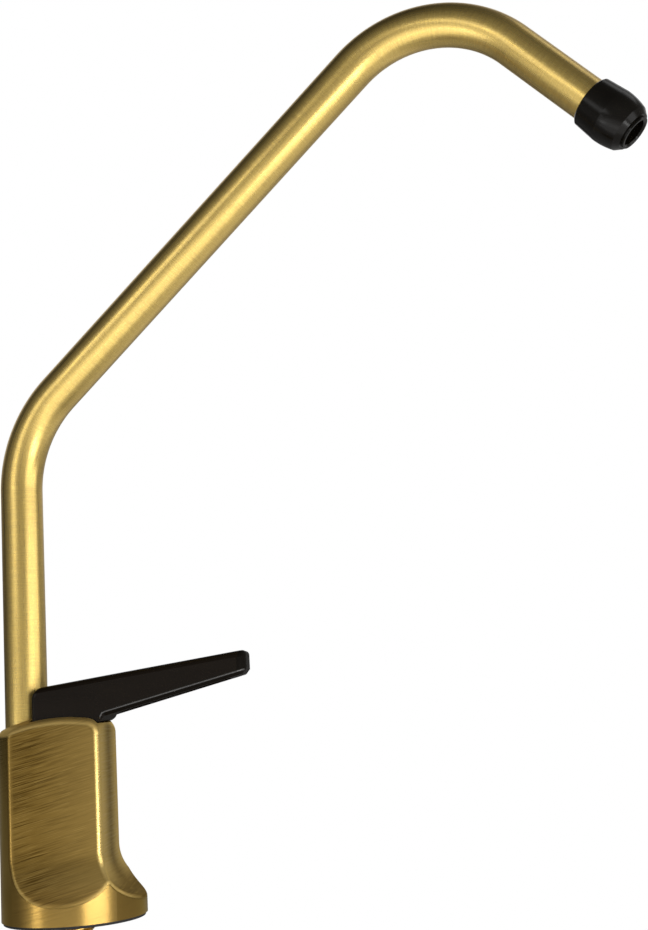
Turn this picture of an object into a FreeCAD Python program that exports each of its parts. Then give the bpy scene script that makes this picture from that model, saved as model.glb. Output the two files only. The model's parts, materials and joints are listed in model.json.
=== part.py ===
import FreeCAD, Part
import math
import os
import types
import Sketcher

# Driving dimensions, millimetres and degrees; heights are measured from the underside of the foot
SIZES = {
    # body: a turned foot and dome, hollowed on both sides and at the front
    "foot_diameter": 42.6,
    "body_height": 59.3,
    "dome_radius": 49.0,
    "shoulder_round": 3.0,
    "side_scoop_depth": 6.5,
    "front_scoop_depth": 9.9,
    "flare_start": 19.2,
    "side_flare_radius": 16.8,
    "front_flare_radius": 14.6,
    "ridge_round": 2.0,
    "front_top_round": 4.5,
    # spout: one tube in three straight runs and two bends
    "tube_od": 12.7,
    "tube_wall": 1.0,
    "tube_offset": 13.1,
    "tube_foot": 44.0,
    "spout_top": 258.1,
    "first_bend_angle": 49.5,
    "first_bend_radius": 39.0,
    "middle_run": 133.0,
    "second_bend_angle": 86.5,
    "second_bend_radius": 35.5,
    "end_run": 37.4,
    "spout_turn_angle": 17.0,
    # swivel end of the spout
    "fitting_spigot": 10.0,
    "fitting_flange": 2.0,
    "fitting_tail": 13.0,
    "fitting_step": 0.85,
    "fitting_bore": 6.8,
    "water_groove_depth": 1.2,
    "water_groove_width": 4.0,
    "water_groove_rise": 6.5,
    "passage_diameter": 3.2,
    "port_diameter": 2.6,
    "spout_ring_section": 1.1,
    "spout_ring_spread": 4.1,
    # nozzle at the spout's end
    "nozzle_grip": 8.0,
    "nozzle_length": 16.0,
    "nozzle_rim_diameter": 15.0,
    "nozzle_belly_diameter": 16.2,
    "nozzle_belly_place": 7.2,
    "nozzle_shoulder_diameter": 14.2,
    "nozzle_face_diameter": 11.6,
    "nozzle_face_slope": 1.6,
    "nozzle_collar_diameter": 10.0,
    "nozzle_collar_height": 0.8,
    "nozzle_outlet": 7.8,
    "nozzle_edge_bevel": 0.4,
    "nozzle_seal_thickness": 0.8,
    "straightener_thickness": 2.0,
    "straightener_hole": 1.3,
    "straightener_spread": 2.4,
    "straightener_start_angle": 15.0,
    # lever
    "lever_width": 22.0,
    "lever_tip_width": 17.5,
    "lever_rear": 9.2,
    "lever_reach": 54.6,
    "lever_root_height": 10.7,
    "lever_tip_rise": 18.9,
    "lever_tip_depth": 6.9,
    "heel_place": 9.7,
    "heel_radius": 2.8,
    "heel_front": 2.58,
    "lever_rear_round": 3.6,
    "lever_corner_round": 3.0,
    "lever_edge_round": 1.2,
    "lever_bevel": 1.2,
    "saddle_gap": 1.1,
    "lever_wall": 2.4,
    "lever_slot_depth": 3.7,
    # valve
    "bonnet_diameter": 10.8,
    "bonnet_length": 11.1,
    "spanner_hole": 1.8,
    "spanner_depth": 2.7,
    "chamber_diameter": 9.4,
    "chamber_foot": 20.8,
    "seat_height": 22.0,
    "seat_bore": 5.0,
    "seat_lip": 1.0,
    "stem_diameter": 3.8,
    "neck_diameter": 2.8,
    "ball_diameter": 5.2,
    "ball_rise": 4.7,
    "ball_web_drop": 2.1,
    "collar_diameter": 8.4,
    "collar_thickness": 2.0,
    "seat_washer_diameter": 7.8,
    "seat_washer_thickness": 2.5,
    "stem_ring_section": 1.4,
    "bonnet_ring_section": 1.2,
    "gland_thickness": 1.2,
    "spring_wire": 0.8,
    "spring_mean": 6.6,
    "spring_turns": 6.0,
    "washer_screw_diameter": 2.4,
    "washer_screw_head": 3.8,
    "washer_screw_head_height": 1.3,
    "washer_screw_length": 5.0,
    "set_screw_diameter": 4.0,
    "set_screw_tip": 2.4,
    "set_screw_length": 2.0,
    "set_screw_key": 2.0,
    "set_screw_key_depth": 1.0,
    # fixing below the worktop
    "gasket_thickness": 0.8,
    "gasket_inset": 0.6,
    "shank_diameter": 11.1,
    "shank_bore": 6.4,
    "shank_engagement": 14.0,
    "shank_drop": 46.0,
    "worktop": 28.0,
    "counter_washer_diameter": 30.0,
    "counter_washer_thickness": 2.0,
    "lock_washer_diameter": 18.0,
    "lock_washer_thickness": 1.0,
    "lock_notch_width": 1.8,
    "lock_notch_depth": 1.8,
    "nut_across_flats": 17.5,
    "nut_height": 6.5,
    "stub_diameter": 6.35,
    "stub_length": 16.0,
    "stub_bore": 4.2,
    "stub_bevel": 0.6,
    # clearances
    "running_gap": 0.08,
    "thread_gap": 0.05,
    "press_gap": 0.02,
    "moving_gap": 0.3,
    "loose_gap": 0.5,
    "cut_over": 4.0,
}

STRAIGHTENER_HOLES = 6
LOCK_NOTCHES = 12

doc = FreeCAD.newDocument("filter_tap")
sheet = doc.addObject("Spreadsheet::Sheet", "sizes")
for row, (name, amount) in enumerate(SIZES.items(), start=1):
    sheet.set(f"A{row}", name)
    sheet.set(f"B{row}", str(amount))
    sheet.setAlias(f"B{row}", name)
doc.recompute()


# A number kept together with the sheet expression that drives it
class Size:
    def __init__(self, value, text):
        self.value = value
        self.text = text

    def __add__(self, other):
        other = as_size(other)
        return Size(self.value + other.value, f"({self.text} + {other.text})")

    def __sub__(self, other):
        other = as_size(other)
        return Size(self.value - other.value, f"({self.text} - {other.text})")

    def __mul__(self, other):
        other = as_size(other)
        return Size(self.value * other.value, f"({self.text} * {other.text})")

    def __truediv__(self, other):
        other = as_size(other)
        return Size(self.value / other.value, f"({self.text} / {other.text})")

    def __neg__(self):
        return Size(-self.value, f"(0 - {self.text})")


def as_size(amount):
    return amount if isinstance(amount, Size) else Size(float(amount), str(amount))


def sine(angle):
    return Size(math.sin(math.radians(angle.value)), f"sin({angle.text})")


def cosine(angle):
    return Size(math.cos(math.radians(angle.value)), f"cos({angle.text})")


def root(amount):
    return Size(math.sqrt(amount.value), f"sqrt({amount.text})")


def bind(item, path, amount):
    item.setExpression(path, as_size(amount).text)


s = types.SimpleNamespace(**{name: Size(amount, f"sizes.{name}") for name, amount in SIZES.items()})

# Worked-out sizes that several pieces share
foot_r = s.foot_diameter / 2
half_flats = foot_r - s.side_scoop_depth
front_face = foot_r - s.front_scoop_depth
tube_r = s.tube_od / 2
tube_in_r = tube_r - s.tube_wall
socket_r = tube_r + s.running_gap
bend_rise = s.first_bend_radius * sine(s.first_bend_angle) + s.middle_run * cosine(s.first_bend_angle)
apex_rise = s.second_bend_radius * (as_size(1) - sine(s.first_bend_angle))
rise_run = s.spout_top - tube_r - apex_rise - bend_rise - s.tube_foot
fitting_r = tube_r - s.fitting_step
fitting_bore_r = s.fitting_bore / 2
lower_socket_r = fitting_r + s.running_gap
fitting_foot = s.tube_foot - s.fitting_flange - s.fitting_tail
groove_r = fitting_r - s.water_groove_depth
shank_r = s.shank_diameter / 2
shank_bore_r = s.shank_bore / 2
chamber_r = s.chamber_diameter / 2
bonnet_r = s.bonnet_diameter / 2
bonnet_bore_r = bonnet_r + s.thread_gap
stem_r = s.stem_diameter / 2
seat_bore_r = s.seat_bore / 2
washer_foot = s.seat_height + s.thread_gap
collar_foot = washer_foot + s.seat_washer_thickness
spring_foot = collar_foot + s.collar_thickness
water_level = fitting_foot + s.water_groove_rise
lever_slot_floor = s.body_height - s.lever_slot_depth
bonnet_foot = lever_slot_floor - s.moving_gap - s.bonnet_length
gland_foot = bonnet_foot - s.gland_thickness
ball_height = lever_slot_floor + s.ball_rise
lever_foot = lever_slot_floor + s.moving_gap
lever_tip_top = lever_foot + s.lever_tip_rise
lever_tip_bottom = lever_tip_top - s.lever_tip_depth
heel_height = lever_foot + s.heel_radius
above = s.body_height + s.cut_over


# Sketches and features
def new_body(label):
    body = doc.addObject("PartDesign::Body", label)
    body.Label = label
    return body


def origin_plane(body, role):
    return next(item for item in body.Origin.OriginFeatures if item.Role == role)


def new_sketch(body, name, role, shift=(0, 0, 0), tilt=None, hinge=(0, 0, 1)):
    sketch = body.newObject("Sketcher::SketchObject", name)
    sketch.AttachmentSupport = (origin_plane(body, role), [""])
    sketch.MapMode = "FlatFace"
    if tilt is not None:
        rotation = FreeCAD.Rotation(FreeCAD.Vector(*hinge), tilt.value)
        sketch.AttachmentOffset = FreeCAD.Placement(FreeCAD.Vector(), rotation)
        bind(sketch, "AttachmentOffset.Rotation.Angle", tilt)
    for axis, amount in zip("xyz", shift):
        bind(sketch, f"AttachmentOffset.Base.{axis}", amount)
    return sketch


def drive(sketch, kind, *elements):
    *elements, amount = elements
    number = sketch.addConstraint(Sketcher.Constraint(kind, *elements, amount.value))
    sketch.setExpression(f"Constraints[{number}]", amount.text)


# Fixes one sketch point at (x, y); a zero coordinate puts it on the axis itself
def pin_point(sketch, geometry, place, point):
    for kind, axis, amount in (("DistanceX", -2, point[0]), ("DistanceY", -1, point[1])):
        amount = as_size(amount)
        if amount.value == 0:
            sketch.addConstraint(Sketcher.Constraint("PointOnObject", geometry, place, axis))
        elif amount.value > 0:
            drive(sketch, kind, -1, 1, geometry, place, amount)
        else:
            drive(sketch, kind, geometry, place, -1, 1, -amount)


# An arc to a point; side is 1 when it runs counter-clockwise and -1 when clockwise
class Arc:
    def __init__(self, end, radius, side):
        self.end = end
        self.radius = radius
        self.side = side


def flat(point):
    return FreeCAD.Vector(as_size(point[0]).value, as_size(point[1]).value, 0)


def arc_geometry(start, end, arc):
    chord = end - start
    middle = (start + end) * 0.5
    rise = math.sqrt(max(arc.radius.value ** 2 - chord.Length ** 2 / 4, 0))
    across = FreeCAD.Vector(-chord.y, chord.x, 0).normalize()
    centre = middle + across * (rise * arc.side)
    first, last = (start, end) if arc.side > 0 else (end, start)
    angles = [math.atan2(p.y - centre.y, p.x - centre.x) for p in (first, last)]
    circle = Part.Circle(centre, FreeCAD.Vector(0, 0, 1), arc.radius.value)
    return Part.ArcOfCircle(circle, *angles)


# A closed outline of lines and arcs, every corner driven from the sheet
def outline(sketch, corners):
    points = [corner.end if isinstance(corner, Arc) else corner for corner in corners]
    ends = []
    for number, point in enumerate(points):
        following = corners[(number + 1) % len(corners)]
        start = flat(point)
        stop = flat(points[(number + 1) % len(points)])
        if isinstance(following, Arc):
            index = sketch.addGeometry(arc_geometry(start, stop, following), False)
            drive(sketch, "Radius", index, following.radius)
            ends.append((index, 1, 2) if following.side > 0 else (index, 2, 1))
        else:
            index = sketch.addGeometry(Part.LineSegment(start, stop), False)
            ends.append((index, 1, 2))
    for number, (index, first, last) in enumerate(ends):
        after, after_first, _ = ends[(number + 1) % len(ends)]
        sketch.addConstraint(Sketcher.Constraint("Coincident", index, last, after, after_first))
    for (index, first, last), point in zip(ends, points):
        pin_point(sketch, index, first, point)


# An open run of lines and arcs for a tube to follow
def open_path(sketch, corners):
    points = [corner.end if isinstance(corner, Arc) else corner for corner in corners]
    previous = None
    for number, corner in enumerate(corners[1:], start=1):
        start = flat(points[number - 1])
        stop = flat(points[number])
        first, last = 1, 2
        if isinstance(corner, Arc):
            index = sketch.addGeometry(arc_geometry(start, stop, corner), False)
            drive(sketch, "Radius", index, corner.radius)
            if corner.side < 0:
                first, last = 2, 1
        else:
            index = sketch.addGeometry(Part.LineSegment(start, stop), False)
        if previous is not None:
            sketch.addConstraint(Sketcher.Constraint("Coincident", *previous, index, first))
        pin_point(sketch, index, first, points[number - 1])
        previous = (index, last)
    pin_point(sketch, *previous, points[-1])


def circle_at(sketch, centre, radius):
    radius = as_size(radius)
    index = sketch.addGeometry(Part.Circle(flat(centre), FreeCAD.Vector(0, 0, 1), radius.value), False)
    drive(sketch, "Radius", index, radius)
    if as_size(centre[0]).value == 0 and as_size(centre[1]).value == 0:
        sketch.addConstraint(Sketcher.Constraint("Coincident", index, 3, -1, 1))
    else:
        pin_point(sketch, index, 3, centre)


def rectangle(x0, y0, x1, y1):
    return [(x0, y0), (x1, y0), (x1, y1), (x0, y1)]


def revolve(body, sketch, kind="Revolution"):
    feature = body.newObject(f"PartDesign::{kind}", f"{sketch.Name}_{kind.lower()}")
    feature.Profile = sketch
    feature.ReferenceAxis = (sketch, ["V_Axis"])
    feature.Angle = 360
    return feature


def pad(body, sketch, length, centred=False):
    feature = body.newObject("PartDesign::Pad", f"{sketch.Name}_pad")
    feature.Profile = sketch
    feature.Midplane = centred
    bind(feature, "Length", length)
    return feature


def pocket(body, sketch, length=None, centred=False, reverse=False):
    feature = body.newObject("PartDesign::Pocket", f"{sketch.Name}_pocket")
    feature.Profile = sketch
    feature.Midplane = centred
    feature.Reversed = reverse
    if length is None:
        feature.Type = 1
    else:
        bind(feature, "Length", length)
    return feature


def mirrored(body, feature, role):
    doc.recompute()
    copy = body.newObject("PartDesign::Mirrored", f"{feature.Name}_mirrored")
    copy.Originals = [feature]
    copy.MirrorPlane = (origin_plane(body, role), [""])
    body.Tip = copy
    return copy


def polar(body, feature, count):
    doc.recompute()
    copy = body.newObject("PartDesign::PolarPattern", f"{feature.Name}_around")
    copy.Originals = [feature]
    copy.Axis = (next(item for item in body.Origin.OriginFeatures if item.Role == "Z_Axis"), [""])
    copy.Angle = 360
    copy.Occurrences = count
    body.Tip = copy
    return copy


# Rounds the edges of a body's last feature that the test picks out
def round_edges(body, radius, wanted):
    doc.recompute()
    base = body.Tip
    names = [f"Edge{number}" for number, edge in enumerate(base.Shape.Edges, start=1) if wanted(edge)]
    feature = body.newObject("PartDesign::Fillet", f"{base.Name}_round")
    feature.Base = (base, names)
    bind(feature, "Radius", radius)
    doc.recompute()
    return feature


def bevel_edges(body, size, wanted):
    base = body.Tip
    names = [f"Edge{number}" for number, edge in enumerate(base.Shape.Edges, start=1) if wanted(edge)]
    feature = body.newObject("PartDesign::Chamfer", f"{base.Name}_bevel")
    feature.Base = (base, names)
    bind(feature, "Size", size)
    doc.recompute()
    return feature


def turned(label, corners, shift=(0, 0, 0), tilt=None):
    body = new_body(label)
    sketch = new_sketch(body, f"{label}_profile", "XZ_Plane", shift, tilt)
    outline(sketch, corners)
    revolve(body, sketch)
    return body


def turned_cut(body, name, corners, shift=(0, 0, 0)):
    sketch = new_sketch(body, name, "XZ_Plane", shift)
    outline(sketch, corners)
    return revolve(body, sketch, "Groove")


def place(item, x=0, height=0, turn=None):
    if turn is not None:
        item.Placement.Rotation = FreeCAD.Rotation(FreeCAD.Vector(0, 0, 1), turn.value)
        bind(item, "Placement.Rotation.Angle", turn)
    bind(item, "Placement.Base.x", x)
    bind(item, "Placement.Base.z", height)
    return item


def ring(label, mean_r, section, x, height, turn=None):
    torus = doc.addObject("Part::Torus", label)
    torus.Label = label
    bind(torus, "Radius1", mean_r)
    bind(torus, "Radius2", section / 2)
    return place(torus, x, height, turn)


def hexagon(across_flats):
    reach = across_flats / root(as_size(3))
    half = across_flats / 2
    return [(reach, 0), (reach / 2, half), (-reach / 2, half),
            (-reach, 0), (-reach / 2, -half), (reach / 2, -half)]


def on_foot(item, x=0, height=0, turn=None):
    return place(item, x, s.gasket_thickness + height, turn)


def near(value, target, reach=0.05):
    return abs(value - target) < reach


# True where two faces meet at a visible angle
def is_sharp(shape, edge):
    faces = shape.ancestorsOfType(edge, Part.Face)
    if len(faces) < 2:
        return False
    point = edge.valueAt((edge.FirstParameter + edge.LastParameter) / 2)
    normals = [face.normalAt(*face.Surface.parameter(point)) for face in faces[:2]]
    return normals[0].getAngle(normals[1]) > math.radians(5)


# The body: a domed foot, its scoops, its stepped bores and the slot that guides the lever
def faucet_body():
    body = new_body("faucet_body")
    sketch = new_sketch(body, "body_profile", "XZ_Plane")
    dome_edge = s.body_height - s.dome_radius + root(s.dome_radius * s.dome_radius - foot_r * foot_r)
    outline(sketch, [(0, 0), (foot_r, 0), (foot_r, dome_edge), Arc((0, s.body_height), s.dome_radius, 1)])
    revolve(body, sketch)
    round_edges(body, s.shoulder_round, lambda edge: near(edge.CenterOfMass.z, dome_edge.value))

    side = new_sketch(body, "side_scoop", "YZ_Plane")
    side_end = half_flats + s.side_flare_radius
    outline(side, [(half_flats, above), (half_flats, s.flare_start),
                   Arc((side_end, s.flare_start - s.side_flare_radius), s.side_flare_radius, 1),
                   (side_end, above)])
    mirrored(body, pocket(body, side, centred=True), "XZ_Plane")

    front = new_sketch(body, "front_scoop", "XZ_Plane")
    front_end = front_face + s.front_flare_radius
    outline(front, [(front_face, above), (front_face, s.flare_start),
                    Arc((front_end, s.flare_start - s.front_flare_radius), s.front_flare_radius, 1),
                    (front_end, above)])
    pocket(body, front, centred=True)

    def front_top(edge):
        box = edge.BoundBox
        across = near(box.XMin, front_face.value) and near(box.XMax, front_face.value)
        return across and box.ZMin > s.flare_start.value and box.YLength > box.ZLength
    round_edges(body, s.front_top_round, front_top)
    scooped = body.Tip.Shape
    round_edges(body, s.ridge_round, lambda edge: edge.BoundBox.ZMin > 0.5 and is_sharp(scooped, edge))

    slot = new_sketch(body, "lever_slot", "XZ_Plane")
    outline(slot, rectangle(-(s.lever_rear + s.loose_gap), lever_slot_floor, foot_r, above))
    pocket(body, slot, s.lever_width + s.loose_gap * 2, centred=True)

    turned_cut(body, "valve_bore", [
        (0, 0), (shank_r + s.thread_gap, 0), (shank_r + s.thread_gap, s.shank_engagement),
        (seat_bore_r, s.shank_engagement), (seat_bore_r, s.seat_height),
        (seat_bore_r + s.seat_lip, s.seat_height), (seat_bore_r + s.seat_lip, s.chamber_foot),
        (chamber_r, s.chamber_foot), (chamber_r, bonnet_foot),
        (bonnet_bore_r, bonnet_foot), (bonnet_bore_r, above), (0, above)])
    socket_floor = fitting_foot - s.moving_gap
    socket_step = s.tube_foot - s.fitting_flange - s.moving_gap
    turned_cut(body, "spout_socket", [
        (0, socket_floor), (lower_socket_r, socket_floor), (lower_socket_r, socket_step),
        (socket_r, socket_step), (socket_r, above), (0, above)], shift=(-s.tube_offset, 0, 0))

    passage = new_sketch(body, "water_passage", "YZ_Plane")
    circle_at(passage, (0, water_level), s.passage_diameter / 2)
    pocket(body, passage, s.tube_offset - groove_r)
    screw_hole = new_sketch(body, "set_screw_hole", "YZ_Plane", shift=(0, 0, -(s.tube_offset + groove_r)))
    circle_at(screw_hole, (0, water_level), s.set_screw_diameter / 2)
    pocket(body, screw_hole)
    return on_foot(body)


# A flat ring of rectangular section
def flat_ring(label, inner, outer, thickness):
    return turned(label, rectangle(inner, 0, outer, thickness))


def hex_block(label, across_flats, height):
    body = new_body(label)
    sketch = new_sketch(body, f"{label}_plan", "XY_Plane")
    outline(sketch, hexagon(across_flats))
    pad(body, sketch, height)
    return body


# Fixing: gasket, shank with its push-fit stub, washers and nut
def fixing():
    gasket = flat_ring("base_gasket", shank_r + s.loose_gap, foot_r - s.gasket_inset, s.gasket_thickness)
    place(gasket)

    stub_r = s.stub_diameter / 2
    stub_bore_r = s.stub_bore / 2
    bevel = s.stub_bevel
    length = s.stub_length + s.shank_drop + s.gasket_thickness + s.shank_engagement
    bore_step = s.stub_length + shank_r
    shank = turned("threaded_shank", [
        (stub_bore_r, 0), (stub_r - bevel, 0), (stub_r, bevel), (stub_r, s.stub_length),
        (shank_r - bevel, s.stub_length), (shank_r, s.stub_length + bevel), (shank_r, length),
        (shank_bore_r, length), (shank_bore_r, bore_step), (stub_bore_r, bore_step)])
    place(shank, 0, -(s.shank_drop + s.stub_length))

    washer = flat_ring("counter_washer", shank_r + s.loose_gap, s.counter_washer_diameter / 2,
                       s.counter_washer_thickness)
    washer_level = -(s.worktop + s.counter_washer_thickness)
    place(washer, 0, washer_level)

    rim = s.lock_washer_diameter / 2
    half_notch = s.lock_notch_width / 2
    lock = flat_ring("lock_washer", shank_r + s.loose_gap, rim, s.lock_washer_thickness)
    notch = new_sketch(lock, "lock_notch", "XY_Plane", shift=(0, 0, s.lock_washer_thickness))
    outline(notch, rectangle(rim - s.lock_notch_depth, -half_notch, rim + s.cut_over, half_notch))
    polar(lock, pocket(lock, notch), LOCK_NOTCHES)
    lock_level = washer_level - s.lock_washer_thickness
    place(lock, 0, lock_level)

    nut = hex_block("mounting_nut", s.nut_across_flats, s.nut_height)
    turned_cut(nut, "nut_bore", rectangle(0, 0, shank_r + s.thread_gap, s.nut_height))
    place(nut, 0, lock_level - s.nut_height)
    return [gasket, shank, washer, lock, nut]


# Valve: bonnet and its seals, stem with its ball head, seat washer, screw and spring
def valve():
    ring_pocket = stem_r + s.stem_ring_section + s.running_gap
    pocket_depth = s.stem_ring_section + s.moving_gap
    guide = stem_r + s.running_gap
    ring_mean = bonnet_bore_r - s.bonnet_ring_section / 2 - s.press_gap
    ring_floor = ring_mean - s.bonnet_ring_section / 2 - s.press_gap
    ring_foot = s.bonnet_ring_section
    ring_top = ring_foot + s.bonnet_ring_section + s.moving_gap
    bonnet = turned("valve_bonnet", [
        (ring_pocket, 0), (bonnet_r, 0), (bonnet_r, ring_foot), (ring_floor, ring_foot),
        (ring_floor, ring_top), (bonnet_r, ring_top), (bonnet_r, s.bonnet_length), (guide, s.bonnet_length),
        (guide, pocket_depth), (ring_pocket, pocket_depth)])
    spanner = new_sketch(bonnet, "spanner_holes", "XY_Plane", shift=(0, 0, s.bonnet_length))
    hole_place = (bonnet_r + guide) / 2
    for side in (1, -1):
        circle_at(spanner, (0, hole_place * side), s.spanner_hole / 2)
    pocket(bonnet, spanner, s.spanner_depth)
    on_foot(bonnet, 0, bonnet_foot)

    bonnet_ring = ring("bonnet_o_ring", ring_mean, s.bonnet_ring_section, 0,
                       s.gasket_thickness + bonnet_foot + (ring_foot + ring_top) / 2)
    stem_ring_mean = stem_r + s.stem_ring_section / 2 + s.running_gap / 2
    stem_ring = ring("stem_o_ring", stem_ring_mean, s.stem_ring_section, 0,
                     s.gasket_thickness + bonnet_foot + s.stem_ring_section / 2)
    gland = flat_ring("gland_washer", stem_r + s.moving_gap, chamber_r - s.running_gap, s.gland_thickness)
    on_foot(gland, 0, gland_foot)

    screw_r = s.washer_screw_diameter / 2
    hole_r = screw_r + s.press_gap
    collar_r = s.collar_diameter / 2
    neck_r = s.neck_diameter / 2
    hole_depth = s.washer_screw_length - s.seat_washer_thickness + s.moving_gap
    neck_foot = lever_slot_floor - s.ball_diameter / 2 - collar_foot
    ball_level = ball_height - collar_foot
    stem = turned("valve_stem", [
        (hole_r, 0), (collar_r, 0), (collar_r, s.collar_thickness), (stem_r, s.collar_thickness),
        (stem_r, neck_foot), (neck_r, neck_foot), (neck_r, ball_level), (0, ball_level),
        (0, hole_depth), (hole_r, hole_depth)])
    ball = stem.newObject("PartDesign::AdditiveSphere", "stem_ball")
    ball.AttachmentSupport = (origin_plane(stem, "XY_Plane"), [""])
    ball.MapMode = "FlatFace"
    bind(ball, "Radius", s.ball_diameter / 2)
    bind(ball, "AttachmentOffset.Base.z", ball_level)
    on_foot(stem, 0, collar_foot)

    washer = flat_ring("seat_washer", hole_r, s.seat_washer_diameter / 2, s.seat_washer_thickness)
    on_foot(washer, 0, washer_foot)
    head_r = s.washer_screw_head / 2
    head = s.washer_screw_head_height
    screw = turned("washer_screw", [
        (0, 0), (head_r, 0), (head_r, head), (screw_r, head),
        (screw_r, head + s.washer_screw_length), (0, head + s.washer_screw_length)])
    on_foot(screw, 0, washer_foot - head)

    spring = new_body("valve_spring")
    wire = new_sketch(spring, "spring_wire_section", "XZ_Plane")
    circle_at(wire, (s.spring_mean / 2, s.spring_wire / 2), s.spring_wire / 2)
    coil = spring.newObject("PartDesign::AdditiveHelix", "spring_coil")
    coil.Profile = wire
    coil.ReferenceAxis = (wire, ["V_Axis"])
    coil.Mode = "height-turns-angle"
    bind(coil, "Height", gland_foot - spring_foot - s.spring_wire - s.press_gap * 2)
    bind(coil, "Turns", s.spring_turns)
    on_foot(spring, 0, spring_foot + s.press_gap)
    return [bonnet, bonnet_ring, stem_ring, gland, stem, washer, screw, spring]


# The grub screw in the body's rear wall; its tip holds the spout down by the water groove
def set_screw():
    tip = s.tube_offset + groove_r + s.loose_gap
    shoulder = s.tube_offset + lower_socket_r + s.moving_gap - tip
    length = shoulder + s.set_screw_length
    body = turned("spout_set_screw", [
        (0, 0), (s.set_screw_tip / 2, 0), (s.set_screw_tip / 2, shoulder),
        (s.set_screw_diameter / 2 - s.thread_gap, shoulder),
        (s.set_screw_diameter / 2 - s.thread_gap, length), (0, length)],
        shift=(-tip, water_level, 0), tilt=as_size(90))
    key = new_sketch(body, "set_screw_key", "YZ_Plane", shift=(0, water_level, -(tip + length)))
    outline(key, hexagon(s.set_screw_key))
    pocket(body, key, s.set_screw_key_depth, reverse=True)
    return on_foot(body)


# Spout: bent tube, swivel fitting with its seals, nozzle, nozzle seal and flow straightener
def spout():
    end_heading = s.first_bend_angle + s.second_bend_angle
    first_sine = sine(s.first_bend_angle)
    first_cosine = cosine(s.first_bend_angle)
    bend_1 = (s.first_bend_radius * (as_size(1) - first_cosine), rise_run + s.first_bend_radius * first_sine)
    bend_2 = (bend_1[0] + s.middle_run * first_sine, bend_1[1] + s.middle_run * first_cosine)
    bend_3 = (bend_2[0] + s.second_bend_radius * (first_cosine - cosine(end_heading)),
              bend_2[1] + s.second_bend_radius * (sine(end_heading) - first_sine))
    end_x = bend_3[0] + s.end_run * sine(end_heading)
    end_z = s.tube_foot + bend_3[1] + s.end_run * cosine(end_heading)
    tube = new_body("spout_tube")
    path = new_sketch(tube, "tube_path", "XZ_Plane", shift=(0, s.tube_foot, 0))
    open_path(path, [(0, 0), (0, rise_run), Arc(bend_1, s.first_bend_radius, -1), bend_2,
                     Arc(bend_3, s.second_bend_radius, -1), (end_x, end_z - s.tube_foot)])
    section = new_sketch(tube, "tube_section", "XY_Plane", shift=(0, 0, s.tube_foot))
    circle_at(section, (0, 0), tube_r)
    circle_at(section, (0, 0), tube_in_r)
    pipe = tube.newObject("PartDesign::AdditivePipe", "tube_pipe")
    pipe.Profile = section
    pipe.Spine = path

    ring_mean = lower_socket_r - s.spout_ring_section / 2 - s.running_gap / 2
    ring_floor = ring_mean - s.spout_ring_section / 2 - s.press_gap
    ring_half = s.spout_ring_section / 2 + s.running_gap
    groove_half = s.water_groove_width / 2
    middle = water_level - fitting_foot
    corners = [(0, 0), (fitting_r, 0)]
    for level, half, floor in ((middle - s.spout_ring_spread, ring_half, ring_floor),
                               (middle, groove_half, groove_r),
                               (middle + s.spout_ring_spread, ring_half, ring_floor)):
        corners += [(fitting_r, level - half), (floor, level - half),
                    (floor, level + half), (fitting_r, level + half)]
    flange_r = tube_r - s.press_gap
    spigot_r = tube_in_r - s.press_gap
    top = s.fitting_tail + s.fitting_flange + s.fitting_spigot
    corners += [(fitting_r, s.fitting_tail), (flange_r, s.fitting_tail),
                (flange_r, s.fitting_tail + s.fitting_flange), (spigot_r, s.fitting_tail + s.fitting_flange),
                (spigot_r, top), (fitting_bore_r, top), (fitting_bore_r, middle - groove_half),
                (0, middle - groove_half)]
    fitting = turned("spout_fitting", corners, shift=(0, fitting_foot, 0))
    for role in ("YZ_Plane", "XZ_Plane"):
        port = new_sketch(fitting, f"fitting_port_{role[:2].lower()}", role)
        circle_at(port, (0, water_level), s.port_diameter / 2)
        pocket(fitting, port, s.tube_od, centred=True)

    rings = [ring(f"spout_o_ring_{name}", ring_mean, s.spout_ring_section, -s.tube_offset,
                  s.gasket_thickness + water_level + s.spout_ring_spread * side, -s.spout_turn_angle)
             for name, side in (("lower", -1), ("upper", 1))]

    seal_top = s.nozzle_grip + s.press_gap
    disc_top = seal_top + s.nozzle_seal_thickness + s.press_gap
    disc_foot = disc_top + s.straightener_thickness
    seat = disc_foot + s.press_gap
    grip_r = tube_r + s.press_gap
    outlet_r = s.nozzle_outlet / 2
    rim_r = s.nozzle_rim_diameter / 2
    belly_r = s.nozzle_belly_diameter / 2
    shoulder_r = s.nozzle_shoulder_diameter / 2
    collar_r = s.nozzle_collar_diameter / 2
    face_top = s.nozzle_length - s.nozzle_collar_height
    shoulder_top = face_top - s.nozzle_face_slope
    side_drop = belly_r - shoulder_r
    side_run = shoulder_top - s.nozzle_belly_place
    side_radius = (side_run * side_run + side_drop * side_drop) / (side_drop * 2)
    edge = s.nozzle_edge_bevel
    start_x = end_x - s.nozzle_grip * sine(end_heading)
    start_z = end_z - s.nozzle_grip * cosine(end_heading)
    nozzle = turned("nozzle_tip", [
        (grip_r, 0), (rim_r - edge, 0), (rim_r, edge), (belly_r, s.nozzle_belly_place),
        Arc((shoulder_r, shoulder_top), side_radius, 1),
        (s.nozzle_face_diameter / 2, face_top), (collar_r, face_top), (collar_r, s.nozzle_length),
        (outlet_r + edge, s.nozzle_length), (outlet_r, s.nozzle_length - edge),
        (outlet_r, seat), (grip_r, seat)], shift=(start_x, start_z, 0), tilt=-end_heading)

    seal = turned("nozzle_seal", rectangle(tube_in_r, seal_top, tube_r - s.press_gap, disc_top - s.press_gap),
                  shift=(start_x, start_z, 0), tilt=-end_heading)

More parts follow.
